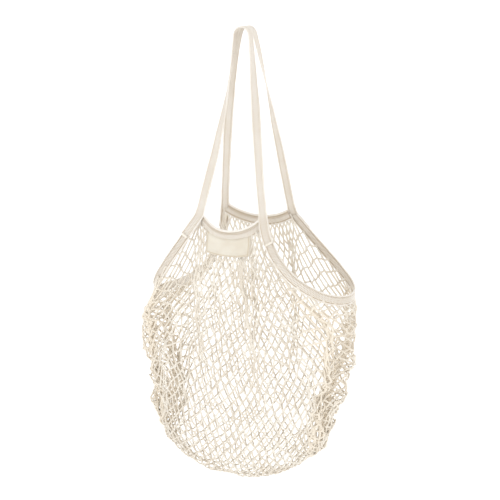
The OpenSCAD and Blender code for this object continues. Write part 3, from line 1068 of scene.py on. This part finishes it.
class Nodes:
    """Short names for building one node material."""

    def __init__(self, name, color, roughness, sheen):
        self.mat = bpy.data.materials.new(name)
        self.mat.use_nodes = True
        self.tree = self.mat.node_tree
        self.shader = self.tree.nodes["Principled BSDF"]
        look = {
            "Base Color": srgb(*color), "Roughness": roughness, "Specular IOR Level": 0.25,
            "Sheen Weight": sheen, "Sheen Roughness": 0.5,
        }
        for key, value in look.items():
            self.shader.inputs[key].default_value = value

    def add(self, kind, settings=None, **inputs):
        node = self.tree.nodes.new(kind)
        for key, value in (settings or {}).items():
            setattr(node, key, value)
        for key, value in inputs.items():
            self.put(node.inputs[key.replace("_", " ")], value)
        return node

    def put(self, socket, value):
        if isinstance(value, bpy.types.NodeSocket):
            self.tree.links.new(value, socket)
        else:
            socket.default_value = value

    def math(self, kind, a, b=0.0, c=0.0):
        node = self.add("ShaderNodeMath", {"operation": kind})
        for socket, value in zip(node.inputs, (a, b, c)):
            self.put(socket, value)
        return node.outputs[0]

    def noise(self, scale, detail=3.0):
        place = self.add("ShaderNodeTexCoord").outputs["Object"]
        return self.add("ShaderNodeTexNoise", Scale=scale, Detail=detail, Vector=place).outputs[0]

    def tint(self, factor, low, high):
        """A mixture of two tones, each a socket or 0-255 display values."""
        node = self.add("ShaderNodeMix", {"data_type": "RGBA"})
        self.put(node.inputs[0], factor)
        for socket, tone in zip(node.inputs[6:8], (low, high)):
            self.put(socket, srgb(*tone) if isinstance(tone, tuple) else tone)
        return node.outputs[2]

    def stretch(self, value, low, high):
        """value spread so that low becomes 0 and high becomes 1."""
        node = self.add("ShaderNodeMapRange", {"interpolation_type": "SMOOTHSTEP"})
        for socket, v in zip(node.inputs, (value, low, high, 0.0, 1.0)):
            self.put(socket, v)
        return node.outputs[0]

    def yarn(self):
        """The piece's own yarn coordinates: once round it, and millimetres along it."""
        split = self.add("ShaderNodeSeparateXYZ")
        uv = self.add("ShaderNodeUVMap", {"uv_map": "yarn"})
        self.tree.links.new(uv.outputs["UV"], split.inputs[0])
        return split.outputs[0], split.outputs[1]

    def number(self, name):
        return self.add("ShaderNodeAttribute", {"attribute_name": name}).outputs["Fac"]

    def bump(self, height, distance):
        node = self.add("ShaderNodeBump", Strength=1.0, Distance=distance * MM, Height=height)
        self.tree.links.new(node.outputs[0], self.shader.inputs["Normal"])

    def color(self, value):
        self.tree.links.new(value, self.shader.inputs["Base Color"])

    def rough(self, value):
        self.tree.links.new(value, self.shader.inputs["Roughness"])


def twist_height(m, pitch, fine):
    """Bump height of plies twisted round a cord, with fibres over them."""
    u, v = m.yarn()
    phase = m.math("MULTIPLY_ADD", u, 2 * math.pi, m.math("MULTIPLY", v, 2 * math.pi / pitch))
    ply = m.math("ABSOLUTE", m.math("SINE", phase))
    return ply, m.math("MULTIPLY_ADD", m.noise(fine, 4.0), 0.35, ply)


def cord_material():
    m = Nodes("net_cord_cotton", (240, 231, 216), 0.85, 0.35)
    ply, height = twist_height(m, 5.2, 2600.0)
    clean = m.tint(m.stretch(m.noise(38.0), 0.35, 0.65), (236, 230, 219), (225, 216, 202))
    # Painted shade: crowded, slack cords turn to a warmer, darker tone for the shade and bounced light
    # among them
    crowd_shade = m.tint(m.noise(160.0), (242, 234, 220), (234, 222, 203))
    body = m.tint(m.math("MULTIPLY", m.number("crowded"), 0.75), clean, crowd_shade)
    # Painted shade: the cord darkens towards (176, 158, 136) in the grooves between its twisted plies
    groove = m.tint(0.35, body, (176, 158, 136))
    m.color(m.tint(m.stretch(ply, 0.0, 0.5), groove, body))
    m.rough(m.stretch(m.noise(900.0), -1.6, 0.8))
    m.bump(height, 0.22)
    return m.mat


def tape_material():
    m = Nodes("knit_tape_cotton", (244, 237, 227), 0.9, 0.4)
    u, v = m.yarn()
    clean = m.tint(m.stretch(m.noise(24.0), 0.35, 0.65), (238, 234, 228), (231, 225, 216))
    fleck = m.tint(m.stretch(m.noise(520.0, 5.0), 0.45, 0.75), clean, (226, 216, 202))
    # Painted shade: the knit's grooves and waffle hollows, from the relief attribute, are tinted towards
    # (184, 166, 141)
    relief = m.stretch(m.number("relief"), -0.42, 0.2)
    m.color(m.tint(relief, (184, 166, 141), fleck))
    loops = m.math("SINE", m.math("MULTIPLY_ADD", v, 2 * math.pi / 0.7, m.math("MULTIPLY", u, 250.0)))
    m.bump(m.math("MULTIPLY_ADD", loops, 0.25, m.noise(1900.0, 4.0)), 0.16)
    m.rough(m.stretch(m.noise(700.0), -2.0, 0.75))
    return m.mat


def thread_material():
    m = Nodes("sewing_thread_cotton", (250, 246, 238), 0.7, 0.25)
    ply, height = twist_height(m, 1.3, 4200.0)
    pale = m.tint(m.noise(140.0), (252, 248, 241), (241, 233, 219))
    # Painted shade: the thread darkens towards (216, 200, 175) in the grooves between its plies
    m.color(m.tint(m.stretch(ply, 0.0, 0.4), (216, 200, 175), pale))
    m.rough(m.stretch(m.noise(1200.0), -1.4, 0.9))
    m.bump(height, 0.09)
    return m.mat


def label_material():
    m = Nodes("woven_label_cotton", (243, 238, 225), 0.8, 0.3)
    u, v = m.yarn()
    warp = m.math("SINE", m.math("MULTIPLY", u, 2 * math.pi / 0.55))
    weft = m.math("SINE", m.math("MULTIPLY", v, 2 * math.pi / 0.5))
    weave = m.math("MULTIPLY", warp, weft)
    clean = m.tint(m.stretch(m.noise(45.0), 0.35, 0.65), (223, 219, 209), (215, 208, 196))
    woven = m.tint(m.stretch(weave, -1.2, 0.6), (222, 210, 187), clean)
    # Painted shade: a darker line, towards (190, 172, 142), in the groove where the label is sewn down
    m.color(m.tint(m.stretch(m.number("relief"), -1.0, 0.0), (190, 172, 142), woven))
    m.bump(m.math("MULTIPLY_ADD", weave, 0.5, m.noise(2200.0, 3.0)), 0.1)
    m.rough(m.stretch(m.noise(600.0), -1.8, 0.8))
    return m.mat


# ------------ stage, light and camera

FLOOR_DROP, FLOOR_HALF = 0.45, 400.0
CAMERA_TURN, CAMERA_LIFT, CAMERA_FAR = 27.0, 12.1, 2.2
CAMERA_AIM = (0.0078, 0.0, -0.3354)


def build_stage():
    """A pale floor well below the bag, wide enough to fill the view behind it."""
    floor_z = cad_box[0][2] - FLOOR_DROP
    me = bpy.data.meshes.new("floor")
    square = ((-1, -1), (1, -1), (1, 1), (-1, 1))
    me.from_pydata([(x * FLOOR_HALF, y * FLOOR_HALF, floor_z) for x, y in square], [], [(0, 1, 2, 3)])
    floor = placed("floor", me)
    m = Nodes("floor_pale", (252, 252, 251), 0.9, 0.0)
    m.color(m.tint(m.noise(3.0), (253, 253, 252), (250, 250, 249)))
    m.shader.inputs["Emission Color"].default_value = (1, 1, 1, 1)
    m.shader.inputs["Emission Strength"].default_value = 0.22
    me.materials.append(m.mat)
    world = bpy.data.worlds.new("studio")
    world.use_nodes = True
    sky = world.node_tree.nodes["Background"].inputs
    sky["Color"].default_value = (1, 1, 1, 1)
    sky["Strength"].default_value = 1.06
    bpy.context.scene.world = world


def add_light(name, place, power, size):
    """A square lamp that faces the bag."""
    data = bpy.data.lights.new(name, "AREA")
    data.energy, data.size = power, size
    lamp = placed(name, data)
    lamp.location = place
    lamp.rotation_euler = (Vector(CAMERA_AIM) - Vector(place)).to_track_quat("-Z", "Y").to_euler()


def build_camera():
    """The product shot's view: a little from the right and above, with a long lens."""
    a, e = math.radians(CAMERA_TURN), math.radians(CAMERA_LIFT)
    back = Vector((math.sin(a) * math.cos(e), -math.cos(a) * math.cos(e), math.sin(e)))
    data = bpy.data.cameras.new("camera")
    data.lens, data.sensor_width = 104.2, 36.0
    camera = placed("camera", data)
    camera.location = Vector(CAMERA_AIM) + back * CAMERA_FAR
    camera.rotation_euler = (-back).to_track_quat("-Z", "Y").to_euler()
    bpy.context.scene.camera = camera


build_camera()
build_stage()
add_light("key", (-1.5, -2.4, 1.6), power=13, size=1.6)
add_light("fill", (2.4, -1.2, 0.5), power=6, size=2.0)
add_light("rim_light", (0.8, 2.2, 1.2), power=8, size=1.6)
bpy.context.scene.view_settings.view_transform = "Standard"

cord_cotton, tape_cotton = cord_material(), tape_material()
sewing_thread, label_cotton = thread_material(), label_material()

build_net(cord_cotton)
build_closing(cord_cotton)
for facing in (FRONT, BACK):
    build_edge(facing, tape_cotton, sewing_thread)
    build_handle(facing, tape_cotton, sewing_thread)
for end in (LEFT, RIGHT):
    build_side(end, tape_cotton, sewing_thread)
    for facing in (FRONT, BACK):
        build_tack(end, facing, sewing_thread)
build_label(label_cotton, sewing_thread)

bpy.context.view_layer.update()
